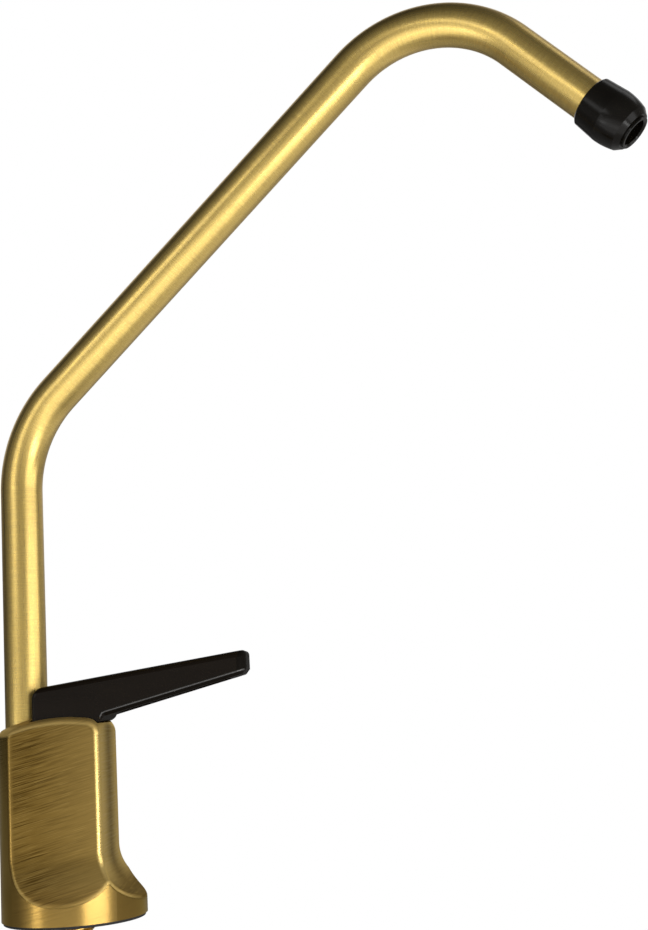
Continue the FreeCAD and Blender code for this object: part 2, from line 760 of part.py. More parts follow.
    disc = new_body("flow_straightener")
    disc_x = start_x + disc_top * sine(end_heading)
    disc_z = start_z + disc_top * cosine(end_heading)
    face = new_sketch(disc, "straightener_face", "XY_Plane", shift=(disc_x, 0, disc_z),
                      tilt=end_heading, hinge=(0, 1, 0))
    circle_at(face, (0, 0), tube_r - s.press_gap)
    hole_r = s.straightener_hole / 2
    circle_at(face, (0, 0), hole_r)
    for number in range(STRAIGHTENER_HOLES):
        angle = s.straightener_start_angle + number * 360 / STRAIGHTENER_HOLES
        circle_at(face, (s.straightener_spread * cosine(angle), s.straightener_spread * sine(angle)), hole_r)
    pad(disc, face, s.straightener_thickness)

    for item in (tube, fitting, nozzle, seal, disc):
        on_foot(item, -s.tube_offset, 0, -s.spout_turn_angle)
    return [tube, fitting, *rings, nozzle, seal, disc]


# Lever: a tapering arm on a rocking heel, hooked over the stem's ball by a slot from the rear
def lever():
    body = new_body("lever")
    half = s.lever_width / 2
    tip_half = s.lever_tip_width / 2
    root_top = lever_foot + s.lever_root_height
    top_slope = (lever_tip_top - root_top) / (s.lever_reach + s.lever_rear)

    def top_at(x):
        return root_top + top_slope * (s.lever_rear + x)

    heel_rise = s.heel_radius - root(s.heel_radius * s.heel_radius - s.heel_front * s.heel_front)
    side = new_sketch(body, "lever_side", "XZ_Plane")
    outline(side, [
        (-s.lever_rear, lever_foot), (s.heel_place, lever_foot),
        Arc((s.heel_place + s.heel_front, lever_foot + heel_rise), s.heel_radius, 1),
        (s.lever_reach, lever_tip_bottom), (s.lever_reach, lever_tip_top), (-s.lever_rear, root_top)])
    pad(body, side, s.lever_width, centred=True)

    def across_at(x, height):
        return lambda edge: near(edge.CenterOfMass.x, x.value) and near(edge.CenterOfMass.z, height.value)
    round_edges(body, s.lever_rear_round, across_at(-s.lever_rear, root_top))

    plan = new_sketch(body, "lever_plan", "XY_Plane")
    taper_start = s.heel_place + s.heel_radius
    outline(plan, [(taper_start, half), (s.lever_reach, tip_half),
                   (s.lever_reach, s.lever_width), (taper_start, s.lever_width)])
    mirrored(body, pocket(body, plan, reverse=True), "XZ_Plane")
    tip_middle = (lever_tip_top + lever_tip_bottom) / 2
    round_edges(body, s.lever_corner_round, across_at(s.lever_reach, tip_middle))

    doc.recompute()
    shaped = body.Tip.Shape

    def upper_edge(edge):
        middle = edge.CenterOfMass
        lifted = middle.z > (lever_foot + s.lever_root_height / 2).value + top_slope.value * middle.x
        return lifted and is_sharp(shaped, edge)
    round_edges(body, s.lever_edge_round, upper_edge)

    doc.recompute()
    rounded = body.Tip.Shape

    def lower_edge(edge):
        middle = edge.CenterOfMass
        below = middle.z < top_at(middle.x).value - s.lever_edge_round.value * 3
        return middle.x > taper_start.value + s.heel_radius.value and below and is_sharp(rounded, edge)
    bevel_edges(body, s.lever_bevel, lower_edge)

    saddle = new_sketch(body, "tube_saddle", "XY_Plane")
    circle_at(saddle, (-s.tube_offset, 0), tube_r + s.saddle_gap)
    pocket(body, saddle, reverse=True)

    ball_r = s.ball_diameter / 2
    neck_r = s.neck_diameter / 2
    behind = -(s.lever_rear + s.loose_gap)
    web_top = ball_height - s.ball_web_drop
    channel = new_sketch(body, "ball_channel", "XZ_Plane")
    outline(channel, rectangle(behind, web_top, ball_r + s.loose_gap, ball_height + ball_r + s.loose_gap * 2))
    pocket(body, channel, s.ball_diameter + s.loose_gap * 2, centred=True)
    neck_slot = new_sketch(body, "neck_slot", "XZ_Plane")
    outline(neck_slot, rectangle(behind, lever_foot - s.loose_gap,
                                 neck_r + s.loose_gap, web_top + s.loose_gap))
    pocket(body, neck_slot, s.neck_diameter + s.loose_gap * 2, centred=True)

    core_start = taper_start + s.lever_wall
    core_end = s.lever_reach - s.lever_corner_round - s.lever_wall
    core = new_sketch(body, "lever_core", "XZ_Plane")
    outline(core, [
        (core_start, lever_foot), (core_end, lever_foot),
        (core_end, top_at(core_end) - s.lever_wall), (core_start, top_at(core_start) - s.lever_wall)])
    pocket(body, core, s.lever_tip_width - s.lever_wall * 2, centred=True)
    return on_foot(body)


pieces = [faucet_body(), *fixing(), *valve(), set_screw(), *spout(), lever()]
doc.recompute()

failed = [item.Name for item in doc.Objects if "Invalid" in item.State or "Error" in item.State]
failed += [piece.Label for piece in pieces if piece.Shape.isNull() or not piece.Shape.isValid()]
failed += [piece.Label for piece in pieces if len(piece.Shape.Solids) != 1]
if failed:
    raise RuntimeError(f"these did not build: {failed}")

os.makedirs("parts", exist_ok=True)
for piece in pieces:
    piece.Shape.exportStep(f"parts/{piece.Label}.step")
    print(f"{piece.Label}: {piece.Shape.Volume:.0f} cubic millimetres")
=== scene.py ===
import json
import math
import bpy
import bmesh
from mathutils import Vector, Matrix


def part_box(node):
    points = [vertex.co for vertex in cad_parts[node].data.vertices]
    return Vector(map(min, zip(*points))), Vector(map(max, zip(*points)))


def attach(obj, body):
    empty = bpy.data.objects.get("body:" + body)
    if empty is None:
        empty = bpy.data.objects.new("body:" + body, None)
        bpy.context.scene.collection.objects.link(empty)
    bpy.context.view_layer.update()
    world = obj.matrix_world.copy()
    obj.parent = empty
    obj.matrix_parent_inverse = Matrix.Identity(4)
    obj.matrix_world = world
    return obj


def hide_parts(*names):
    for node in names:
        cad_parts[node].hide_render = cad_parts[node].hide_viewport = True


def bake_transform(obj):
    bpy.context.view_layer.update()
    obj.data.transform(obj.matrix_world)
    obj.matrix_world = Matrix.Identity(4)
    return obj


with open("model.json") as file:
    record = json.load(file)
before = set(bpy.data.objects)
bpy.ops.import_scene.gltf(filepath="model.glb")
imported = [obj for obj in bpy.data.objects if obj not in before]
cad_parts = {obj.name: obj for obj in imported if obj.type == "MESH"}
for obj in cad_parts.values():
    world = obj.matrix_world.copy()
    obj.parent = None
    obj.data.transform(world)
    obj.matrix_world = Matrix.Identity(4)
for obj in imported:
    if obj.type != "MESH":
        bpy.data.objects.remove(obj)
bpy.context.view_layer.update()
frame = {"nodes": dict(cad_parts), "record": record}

nodes = frame["nodes"]
mm = 0.001
print("frame loaded:", len(nodes), "nodes")


# node tree helpers; an input's key is its name, or i and its number
def newMaterial(name):
    mat = bpy.data.materials.new(name)
    mat.use_nodes = True
    tree = mat.node_tree
    return mat, tree, tree.nodes["Principled BSDF"]


def setInput(tree, node, key, value):
    socket = node.inputs[int(key[1:])] if key[0] == "i" and key[1:].isdigit() else node.inputs[key]
    if isinstance(value, bpy.types.NodeSocket):
        tree.links.new(value, socket)
    else:
        socket.default_value = value


def addNode(tree, kind, settings=None, **inputs):
    node = tree.nodes.new(kind)
    for key, value in (settings or {}).items():
        setattr(node, key, value)
    for key, value in inputs.items():
        setInput(tree, node, key, value)
    return node


def math2(tree, operation, first, second=0.0):
    return addNode(tree, "ShaderNodeMath", {"operation": operation}, i0=first, i1=second).outputs[0]


def times(tree, first, second):
    return math2(tree, "MULTIPLY", first, second)


def restOf(tree, share):
    return math2(tree, "SUBTRACT", 1.0, share)


def remap(tree, value, low, high, toLow=0.0, toHigh=1.0, ease="LINEAR"):
    settings = {"clamp": True, "interpolation_type": ease}
    node = addNode(tree, "ShaderNodeMapRange", settings, i0=value, i1=low, i2=high, i3=toLow, i4=toHigh)
    return node.outputs[0]


def mixColour(tree, factor, first, second, kind="MIX"):
    settings = {"data_type": "RGBA", "blend_type": kind}
    return addNode(tree, "ShaderNodeMix", settings, i0=factor, i6=first, i7=second).outputs[2]


def mixValue(tree, factor, first, second):
    return addNode(tree, "ShaderNodeMix", {"data_type": "FLOAT"}, i0=factor, i2=first, i3=second).outputs[0]


def noise(tree, vector, scale, detail=2.0, rough=0.5):
    inputs = {"Vector": vector, "Scale": scale, "Detail": detail, "Roughness": rough}
    return addNode(tree, "ShaderNodeTexNoise", None, **inputs).outputs["Fac"]


def streaks(tree, vector, scale, turn=(0, 0, 0), detail=2.0, rough=0.5):
    turned = addNode(tree, "ShaderNodeMapping", None, Vector=vector, Rotation=turn).outputs[0]
    drawnOut = addNode(tree, "ShaderNodeMapping", None, Vector=turned, Scale=scale).outputs[0]
    return noise(tree, drawnOut, 1.0, detail, rough)


def bump(tree, height, strength, distance):
    node = addNode(tree, "ShaderNodeBump", None, Height=height, Strength=strength, Distance=distance)
    return node.outputs["Normal"]


def srgb(red, green, blue):
    def line(c):                                      # the usual curve of screen colours
        c = c / 255
        return c / 12.92 if c <= 0.04045 else ((c + 0.055) / 1.055) ** 2.4
    return (line(red), line(green), line(blue), 1.0)


noiseSpan = (0.3, 0.7)                                # most of a noise lies between these
markSpan = (0.35, 0.65)                               # a harder step between two tones
speckSpan = (0.5, 0.75, 0.0, 0.6)                     # only the peaks show, up to a share of 0.6

# antique brass: dark strokes on the flats, painted sheen lighter toward the ridges, polished on the ridges
# and the top
# two numbers are a span that gives 0 to 1, four are a span and what it gives; places are in metres
bodyBrassLook = {
    "stroke": (0.075, 0.042, 0.008, 1), "ground": (0.180, 0.110, 0.025, 1),
    "scratch": (0.400, 0.270, 0.080, 1), "frontPaleTone": (0.335, 0.226, 0.068, 1),
    # the pale brass tone is polish on the ridges and the top, and painted sheen on the side faces
    "polishAndSheen": (0.660, 0.475, 0.165, 1), "edgeTint": (0.93, 0.84, 0.60, 1),
    "strokeTurn": (0.0, math.radians(14), 0.0), "strokeScale": (70, 70, 2600), "fineScale": (150, 150, 6200),
    "bandScale": (35, 35, 190), "bandShade": (0.3, 0.7, 0.10, -0.10), "strokeShow": (0.34, 0.56, 1.0, 0.0),
    "strokeFade": (-0.006, 0.012, 1.0, 0.45), "scratchShow": (0.55, 0.75, 0.0, 0.6),
    "frontPalerTowardX": (-0.008, 0.012, 0.0, 0.55), "sidePaintedSheen": (-0.002, 0.0135, 0.0, 0.95),
    "flareHeight": (0.0090, 0.0165, 1.0, 0.0), "flarePaintedLight": (2.2, 2.3, 2.6, 1), "flareRough": 0.68,
    "rim": (0.225, 0.141, 0.036, 1), "rimSpread": (0.0203, 0.0211), "rimUpright": (0.30, 0.08),
    "rimShare": 0.85, "rimRough": 0.25,
    "ridgeTurn": (0.12, 0.50), "ridgeSteep": (0.20, 0.35), "leastSteep": 0.05,
    "halfDepthToWidth": 1.263, "cuspLine": (0.955, 0.995), "cuspHeight": (0.019, 0.015),
    "topHeight": 0.046, "topTurn": (0.10, 0.40), "topRough": 0.62,
    "polishBreaks": (0.25, 0.55, 0.75, 1.0), "polishedRough": 0.14,
    "roughness": (0.52, 0.36), "bumpStrength": 0.3, "bumpDepth": 0.00004,
}


def makeBodyBrass(look):
    mat, tree, shader = newMaterial("antiqueBodyBrass")
    coords = addNode(tree, "ShaderNodeTexCoord")
    place, facing = coords.outputs["Object"], coords.outputs["Normal"]
    x, y, z = addNode(tree, "ShaderNodeSeparateXYZ", None, Vector=place).outputs
    turnX, turnY, turnZ = addNode(tree, "ShaderNodeSeparateXYZ", None, Vector=facing).outputs
    deep = math2(tree, "ABSOLUTE", y)
    wide = times(tree, math2(tree, "ABSOLUTE", x), look["halfDepthToWidth"])
    sideways = math2(tree, "ABSOLUTE", turnX)
    across = math2(tree, "ABSOLUTE", turnY)
    steep = math2(tree, "ADD", times(tree, sideways, sideways), times(tree, across, across))
    steep = math2(tree, "SQRT", steep)

    # brushed flats; the front and back faces paler toward +x, and the side faces painted lighter toward their
    # ridges as painted sheen
    strokes = streaks(tree, place, look["strokeScale"], look["strokeTurn"])
    fine = streaks(tree, place, look["fineScale"], look["strokeTurn"])
    bands = streaks(tree, place, look["bandScale"], look["strokeTurn"], detail=1.0)
    shaded = math2(tree, "SUBTRACT", strokes, remap(tree, bands, *look["bandShade"]))
    depth = times(tree, remap(tree, shaded, *look["strokeShow"]), remap(tree, x, *look["strokeFade"]))
    colour = mixColour(tree, depth, look["ground"], look["stroke"])
    colour = mixColour(tree, remap(tree, fine, *look["scratchShow"]), colour, look["scratch"])
    sideFace = math2(tree, "GREATER_THAN", sideways, across)
    frontFace = restOf(tree, sideFace)
    low = remap(tree, z, *look["flareHeight"])
    # painted sheen: the side faces take the pale brass tone toward their ridges and stay darkest down their
    # middle
    sidePaintedSheen = times(tree, remap(tree, deep, *look["sidePaintedSheen"], "SMOOTHSTEP"), sideFace)
    sidePaintedSheen = times(tree, sidePaintedSheen, restOf(tree, low))
    # the front and back faces are mixed toward a paler tone toward +x
    frontPalerTowardX = times(tree, remap(tree, x, *look["frontPalerTowardX"]), frontFace)
    colour = mixColour(tree, frontPalerTowardX, colour, look["frontPaleTone"])
    colour = mixColour(tree, sidePaintedSheen, colour, look["polishAndSheen"])

    # the flare at the foot is duller, and its colour is painted paler below the flats as painted light; the
    # rim round the foot is smoother
    flatPlace = addNode(tree, "ShaderNodeCombineXYZ", None, X=x, Y=y).outputs[0]
    spread = addNode(tree, "ShaderNodeVectorMath", {"operation": "LENGTH"}, i0=flatPlace).outputs["Value"]
    rim = times(tree, remap(tree, spread, *look["rimSpread"]),
                remap(tree, math2(tree, "ABSOLUTE", turnZ), *look["rimUpright"]))
    # painted light: the flare's colour is lifted paler on the front and back faces, standing in for light its
    # hollow would catch
    colour = mixColour(tree, times(tree, low, frontFace), colour, look["flarePaintedLight"], "MULTIPLY")
    colour = mixColour(tree, times(tree, rim, look["rimShare"]), colour, look["rim"])

    # ridges are where the surface turns between two flats; near the foot they run out to the cusps
    corner = math2(tree, "DIVIDE", math2(tree, "MINIMUM", sideways, across),
                   math2(tree, "MAXIMUM", steep, look["leastSteep"]))
    ridge = times(tree, remap(tree, corner, *look["ridgeTurn"]), remap(tree, steep, *look["ridgeSteep"]))
    diagonal = math2(tree, "DIVIDE", math2(tree, "MINIMUM", deep, wide), math2(tree, "MAXIMUM", deep, wide))
    cusp = times(tree, remap(tree, diagonal, *look["cuspLine"]), remap(tree, z, *look["cuspHeight"]))
    cusp = times(tree, cusp, math2(tree, "GREATER_THAN", x, 0.0))
    ridge = times(tree, math2(tree, "MAXIMUM", ridge, cusp), restOf(tree, rim))
    top = times(tree, remap(tree, turnZ, *look["topTurn"]), math2(tree, "GREATER_THAN", z, look["topHeight"]))
    worn = math2(tree, "MAXIMUM", ridge, top)
    polish = times(tree, worn, remap(tree, strokes, *look["polishBreaks"]))
    setInput(tree, shader, "Base Color", mixColour(tree, polish, colour, look["polishAndSheen"]))

    rough = remap(tree, strokes, *noiseSpan, *look["roughness"])
    rough = math2(tree, "SUBTRACT", rough, times(tree, ridge, look["polishedRough"]))
    for share, target in ((low, look["flareRough"]), (top, look["topRough"]), (rim, look["rimRough"])):
        rough = mixValue(tree, share, rough, target)
    setInput(tree, shader, "Roughness", rough)
    strength = remap(tree, worn, 0.0, 1.0, look["bumpStrength"], 0.0)
    setInput(tree, shader, "Normal", bump(tree, strokes, strength, look["bumpDepth"]))
    shader.inputs["Metallic"].default_value = 1.0
    shader.inputs["Specular Tint"].default_value = look["edgeTint"]
    return mat


# lacquered spout brass, polished round the tube
spoutBrassLook = {
    "dark": (0.50, 0.325, 0.040, 1), "mid": (0.63, 0.425, 0.062, 1), "pale": (0.74, 0.54, 0.130, 1),
    "edgeTint": (0.86, 0.70, 0.36, 1), "ringScale": (2600, 7.0, 1), "runScale": (60, 70, 1),
    "speckScale": 1900, "roughness": (0.25, 0.36), "bumpStrength": 0.3, "bumpDepth": 0.00003,
    "coat": 1.0, "coatIor": 1.8, "coatRough": 0.3,
}


def makeSpoutBrass(look):
    mat, tree, shader = newMaterial("satinSpoutBrass")
    coords = addNode(tree, "ShaderNodeTexCoord")
    rings = streaks(tree, coords.outputs["UV"], look["ringScale"], detail=3.0, rough=0.6)
    runs = streaks(tree, coords.outputs["UV"], look["runScale"])
    specks = noise(tree, coords.outputs["Object"], look["speckScale"], rough=0.6)
    colour = mixColour(tree, remap(tree, rings, *markSpan), look["dark"], look["mid"])
    colour = mixColour(tree, remap(tree, specks, *speckSpan), colour, look["pale"])
    setInput(tree, shader, "Base Color", colour)
    setInput(tree, shader, "Roughness", remap(tree, runs, *noiseSpan, *look["roughness"]))
    height = math2(tree, "ADD", rings, specks)
    setInput(tree, shader, "Normal", bump(tree, height, look["bumpStrength"], look["bumpDepth"]))
    shader.inputs["Metallic"].default_value = 1.0
    shader.inputs["Specular Tint"].default_value = look["edgeTint"]
    shader.inputs["Coat Weight"].default_value = look["coat"]
    shader.inputs["Coat IOR"].default_value = look["coatIor"]
    shader.inputs["Coat Roughness"].default_value = look["coatRough"]
    return mat


# moulded plastics: a fine grain in the surface and faint flow marks
def makePlastic(name, look):
    mat, tree, shader = newMaterial(name)
    place = addNode(tree, "ShaderNodeTexCoord").outputs["Object"]
    grain = noise(tree, place, look["grainScale"], detail=3.0, rough=0.6)
    flow = streaks(tree, place, look["flowScale"])
    colour = mixColour(tree, remap(tree, flow, *noiseSpan), look["dark"], look["pale"])
    setInput(tree, shader, "Base Color", colour)
    setInput(tree, shader, "Roughness", remap(tree, grain, *noiseSpan, *look["roughness"]))
    setInput(tree, shader, "Normal", bump(tree, grain, look["bumpStrength"], look["bumpDepth"]))
    shader.inputs["Specular IOR Level"].default_value = look.get("specular", 0.5)
    shader.inputs["Transmission Weight"].default_value = look.get("clear", 0.0)
    return mat


leverPlasticLook = {
    "dark": (0.0056, 0.0032, 0.0014, 1), "pale": (0.0080, 0.0050, 0.0026, 1), "grainScale": 3200,
    "flowScale": (40, 40, 260), "roughness": (0.16, 0.26), "bumpStrength": 0.10, "bumpDepth": 0.00002,
    "specular": 0.16,
}
# a matt, darker copy of the lever plastic: painted shade on the lever's underside, lip and tip
leverMattShadeLook = {
    "dark": (0.0040, 0.0028, 0.0016, 1), "pale": (0.0060, 0.0044, 0.0028, 1), "grainScale": 2400,
    "flowScale": (120, 120, 120), "roughness": (0.55, 0.70), "bumpStrength": 0.15, "bumpDepth": 0.00002,
    "specular": 0.06,
}
# pale glossy grey for the beads: a painted highlight along the lever's lower edges
leverEdgeHighlightLook = {
    "dark": (0.016, 0.014, 0.012, 1), "pale": (0.045, 0.042, 0.038, 1), "grainScale": 1600,
    "flowScale": (300, 300, 300), "roughness": (0.14, 0.24), "bumpStrength": 0.10, "bumpDepth": 0.00002,
    "specular": 0.9,
}
nozzlePlasticLook = {
    "dark": (0.0030, 0.0022, 0.0012, 1), "pale": (0.0045, 0.0034, 0.0020, 1), "grainScale": 2400,
    "flowScale": (150, 150, 150), "roughness": (0.16, 0.24), "bumpStrength": 0.08, "bumpDepth": 0.00002,
    "specular": 0.17,
}
washerPlasticLook = {
    "dark": srgb(30, 30, 31), "pale": srgb(46, 46, 47), "grainScale": 1800,
    "flowScale": (90, 90, 90), "roughness": (0.45, 0.62), "bumpStrength": 0.25, "bumpDepth": 0.00005,
}
rubberLook = {
    "dark": srgb(16, 16, 17), "pale": srgb(30, 30, 31), "grainScale": 2600,
    "flowScale": (220, 220, 220), "roughness": (0.6, 0.8), "bumpStrength": 0.3, "bumpDepth": 0.00005,
}
clearPlasticLook = {
    "dark": srgb(214, 220, 222), "pale": srgb(232, 236, 238), "grainScale": 1500,
    "flowScale": (200, 200, 200), "roughness": (0.12, 0.22), "bumpStrength": 0.08, "bumpDepth": 0.00003,
    "clear": 0.75,
}


# machined metals: turning marks ring the tool axis
def makeTurnedMetal(name, look):
    mat, tree, shader = newMaterial(name)
    place = addNode(tree, "ShaderNodeTexCoord").outputs["Object"]
    marks = streaks(tree, place, look["markScale"], detail=3.0, rough=0.6)
    stain = noise(tree, place, look["stainScale"], detail=3.0, rough=0.55)
    colour = mixColour(tree, remap(tree, marks, *markSpan), look["dark"], look["mid"])
    colour = mixColour(tree, remap(tree, stain, *speckSpan), colour, look["pale"])
    setInput(tree, shader, "Base Color", colour)
    setInput(tree, shader, "Roughness", remap(tree, stain, *noiseSpan, *look["roughness"]))
    setInput(tree, shader, "Normal", bump(tree, marks, look["bumpStrength"], look["bumpDepth"]))
    shader.inputs["Metallic"].default_value = 1.0
    return mat


plainBrassLook = {
    "dark": srgb(182, 146, 78), "mid": srgb(214, 180, 104), "pale": srgb(228, 198, 130),
    "markScale": (60, 60, 4200), "stainScale": 160, "roughness": (0.2, 0.36),
    "bumpStrength": 0.25, "bumpDepth": 0.00003,
}
steelLook = {
    "dark": srgb(150, 152, 156), "mid": srgb(186, 188, 190), "pale": srgb(206, 208, 210),
    "markScale": (80, 80, 3200), "stainScale": 220, "roughness": (0.24, 0.4),
    "bumpStrength": 0.25, "bumpDepth": 0.00003,
}

finishes = {
    "brass_body": makeBodyBrass(bodyBrassLook),
    "brass_spout": makeSpoutBrass(spoutBrassLook),
    "plain_brass": makeTurnedMetal("turnedBrass", plainBrassLook),
    "steel": makeTurnedMetal("zincPlatedSteel", steelLook),
    "lever_plastic": makePlastic("leverPlastic", leverPlasticLook),
    "nozzle_plastic": makePlastic("nozzlePlastic", nozzlePlasticLook),
    "clear_plastic": makePlastic("clearAeratorPlastic", clearPlasticLook),
    "washer_plastic": makePlastic("washerPlastic", washerPlasticLook),
    "rubber": makePlastic("sealRubber", rubberLook),
}
leverMattShade = makePlastic("leverMattShadePlastic", leverMattShadeLook)
paintedEdgeHighlight = makePlastic("paintedEdgeHighlight", leverEdgeHighlightLook)
nodeSlots = {part["node"]: part["material_slot"] for part in frame["record"]["subparts"]}
print("finishes made:", len(finishes))


def dress(obj, slot):
    obj.data.materials.clear()
    obj.data.materials.append(finishes[slot])
    for face in obj.data.polygons:
        face.material_index = 0


for name, obj in nodes.items():
    dress(obj, nodeSlots[name])
print("nodes dressed")


# mesh helpers
def addObject(name, data):
    obj = bpy.data.objects.new(name, data)
    bpy.context.scene.collection.objects.link(obj)
    return obj


def addMesh(name, work, *materials):
    mesh = bpy.data.meshes.new(name)
    work.to_mesh(mesh)
    work.free()
    for mat in materials:
        mesh.materials.append(mat)
    return addObject(name, mesh)


def anglesRound(sides):
    return [2 * math.pi * k / sides for k in range(sides)]


def skinBetween(work, lower, upper):
    faces = []
    for k in range(len(lower)):
        after = (k + 1) % len(lower)
        faces.append(work.faces.new([lower[k], lower[after], upper[after], upper[k]]))
    return faces


# the bent spout: rings along its centre line, with the way along and round kept as the surface map
spoutTube = {
    "foot": 44.8 * mm, "offset": -13.1 * mm, "turn": math.radians(-17), "outer": 6.35 * mm, "wall": 1.0 * mm,
    "runs": (83.212 * mm, 133.0 * mm, 37.4 * mm), "bends": ((49.5, 39.0 * mm), (86.5, 35.5 * mm)),
    "runStep": 2.4 * mm, "bendStep": 1.2 * mm, "sides": 72,
}


def spoutLine(tube):
    places = []                                       # along, high and lean, in the spout's own plane
    along, high, lean = 0.0, tube["foot"], 0.0
    for number, run in enumerate(tube["runs"]):
        count = round(run / tube["runStep"])
        for k in range(count):
            far = run * k / count
            places.append((along + far * math.sin(lean), high + far * math.cos(lean), lean))
        along += run * math.sin(lean)
        high += run * math.cos(lean)
        if number < len(tube["bends"]):
            degrees, radius = tube["bends"][number]
            swing = math.radians(degrees)
            centreAlong = along + radius * math.cos(lean)
            centreHigh = high - radius * math.sin(lean)
            count = round(radius * swing / tube["bendStep"])
            for k in range(count):
                now = lean + swing * k / count
                ahead = centreAlong - radius * math.cos(now)
                places.append((ahead, centreHigh + radius * math.sin(now), now))
            lean += swing
            along = centreAlong - radius * math.cos(lean)
            high = centreHigh + radius * math.sin(lean)
    places.append((along, high, lean))
    return places


def makeSpoutTube(tube):
    work = bmesh.new()
    uvLayer = work.loops.layers.uv.new("along")
    turn = Matrix.Rotation(tube["turn"], 3, "Z")
    sides = tube["sides"]
    places = spoutLine(tube)
    lengths = [0.0]
    for a, b in zip(places, places[1:]):
        lengths.append(lengths[-1] + math.hypot(b[0] - a[0], b[1] - a[1]))

    def ringAt(place, radius):
        along, high, lean = place
        middle = Vector((along, 0, high))
        outward = Vector((math.cos(lean), 0, -math.sin(lean)))
        back = Vector((0, 1, 0))                          # the seam starts at the back
        ring = []
        for angle in anglesRound(sides):
            spot = turn @ (middle + radius * (outward * math.sin(angle) + back * math.cos(angle)))
            ring.append(work.verts.new((spot.x + tube["offset"], spot.y, spot.z)))
        return ring

    def skin(rings, flip):
        for n in range(len(rings) - 1):
            for k in range(sides):
                after = (k + 1) % sides
                corners = [rings[n][k], rings[n][after], rings[n + 1][after], rings[n + 1][k]]
                maps = [(lengths[n], k), (lengths[n], k + 1), (lengths[n + 1], k + 1), (lengths[n + 1], k)]
                if flip:
                    corners.reverse()
                    maps.reverse()
                face = work.faces.new(corners)
                face.smooth = True
                for loop, (far, step) in zip(face.loops, maps):
                    loop[uvLayer].uv = (far, step / sides)

    outside = [ringAt(place, tube["outer"]) for place in places]
    inside = [ringAt(place, tube["outer"] - tube["wall"]) for place in places]
    skin(outside, False)
    skin(inside, True)
    skinBetween(work, inside[0], outside[0])
    skinBetween(work, outside[-1], inside[-1])
    bmesh.ops.recalc_face_normals(work, faces=work.faces)
    return addMesh("spoutTubeBrass", work, finishes["brass_spout"])


spoutPiece = makeSpoutTube(spoutTube)
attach(spoutPiece, "spout")
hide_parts("spout_tube")
print("spout tube bent")


# the fixing shank with its thread; each turn has a root, two sides of the crest and a root again
shank = {
    "radius": 5.55 * mm, "bore": 3.2 * mm, "stub": 3.175 * mm, "stubBore": 2.1 * mm, "bevel": 0.6 * mm,
    "bottom": -62.0 * mm, "step": -46.0 * mm, "top": 14.8 * mm, "boreStep": -40.45 * mm,
    "threadTop": 0.0, "pitch": 1.27 * mm, "depth": 0.72 * mm, "turnPlaces": (0.0, 0.36, 0.5, 0.86),
    "crestPlaces": (1, 2), "sides": 48, "sharpFrom": math.radians(25), "merge": 0.00072 * mm,
}


def makeShank(spec):
    work = bmesh.new()
    sides, pitch = spec["sides"], spec["pitch"]
    perTurn = len(spec["turnPlaces"])
    root = spec["radius"] - spec["depth"]
    low, high = spec["step"] + spec["bevel"], spec["threadTop"]

    def spot(radius, angle, height):
        return work.verts.new((radius * math.cos(angle), radius * math.sin(angle), height))

    def ringAt(radius, height):
        return [spot(radius, angle, height) for angle in anglesRound(sides)]

    def threadRow(number):
        turn, part = divmod(number, perTurn)
        row = []
        for k, angle in enumerate(anglesRound(sides)):
            height = low + pitch * (turn - 1 + spec["turnPlaces"][part] + k / sides)
            crest = part in spec["crestPlaces"] and low < height < high
            row.append(spot(spec["radius"] if crest else root, angle, min(max(height, low), high)))
        return row

    turns = math.ceil((high - low) / pitch) + 2           # one more at each end, pressed flat there
    rows = [threadRow(n) for n in range(turns * perTurn)]
    for n in range(len(rows) - 1):
        for k in range(sides - 1):
            work.faces.new([rows[n][k], rows[n][k + 1], rows[n + 1][k + 1], rows[n + 1][k]])
        if n + 1 + perTurn < len(rows):                   # the last column meets the first one a turn higher
            onward = rows[n + perTurn]
            work.faces.new([rows[n][-1], onward[0], rows[n + 1 + perTurn][0], rows[n + 1][-1]])
    bore, stub, stubBore, bevel = (spec[key] for key in ("bore", "stub", "stubBore", "bevel"))
    below = [ringAt(r, z) for r, z in (
        (stubBore, spec["bottom"]), (stub - bevel, spec["bottom"]), (stub, spec["bottom"] + bevel),
        (stub, spec["step"]), (spec["radius"] - bevel, spec["step"]), (root, low))]
    above = [ringAt(r, z) for r, z in (
        (root, high), (spec["radius"], high + bevel), (spec["radius"], spec["top"]), (bore, spec["top"]),
        (bore, spec["boreStep"]), (stubBore, spec["boreStep"]), (stubBore, spec["bottom"]))]
    for rings in (below, above):
        for lower, upper in zip(rings, rings[1:]):
            skinBetween(work, lower, upper)
    bmesh.ops.remove_doubles(work, verts=work.verts, dist=spec["merge"])
    bmesh.ops.dissolve_degenerate(work, edges=work.edges, dist=spec["merge"])
    bmesh.ops.recalc_face_normals(work, faces=work.faces)
    for face in work.faces:
        face.smooth = True
    for edge in work.edges:
        edge.smooth = edge.calc_face_angle(0.0) < spec["sharpFrom"]
    return addMesh("threadedShankBrass", work, finishes["plain_brass"])


shankPiece = makeShank(shank)
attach(shankPiece, "base")
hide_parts("threaded_shank")
print("shank threaded")


# the valve spring, which shortens between the stem's collar and the gland when the lever lifts the stem, is
# placed as a copy here; its two ends are found from its box
springEnds = {"wire": 0.8 * mm}


def makeSpring(spec):
    piece = addObject("valveSpringCoil", nodes["valve_spring"].data.copy())
    dress(piece, nodeSlots["valve_spring"])
    lowest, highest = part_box("valve_spring")
    middle = [(a + b) / 2 for a, b in zip(lowest, highest)]
    start = (middle[0], middle[1], lowest[2] + spec["wire"])
    end = (middle[0], middle[1], highest[2] - spec["wire"])
    return piece, start, end


springPiece, springStart, springEnd = makeSpring(springEnds)
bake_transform(springPiece)
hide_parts("valve_spring")
print("valve spring placed:", [round(c / mm, 2) for c in springStart + springEnd])


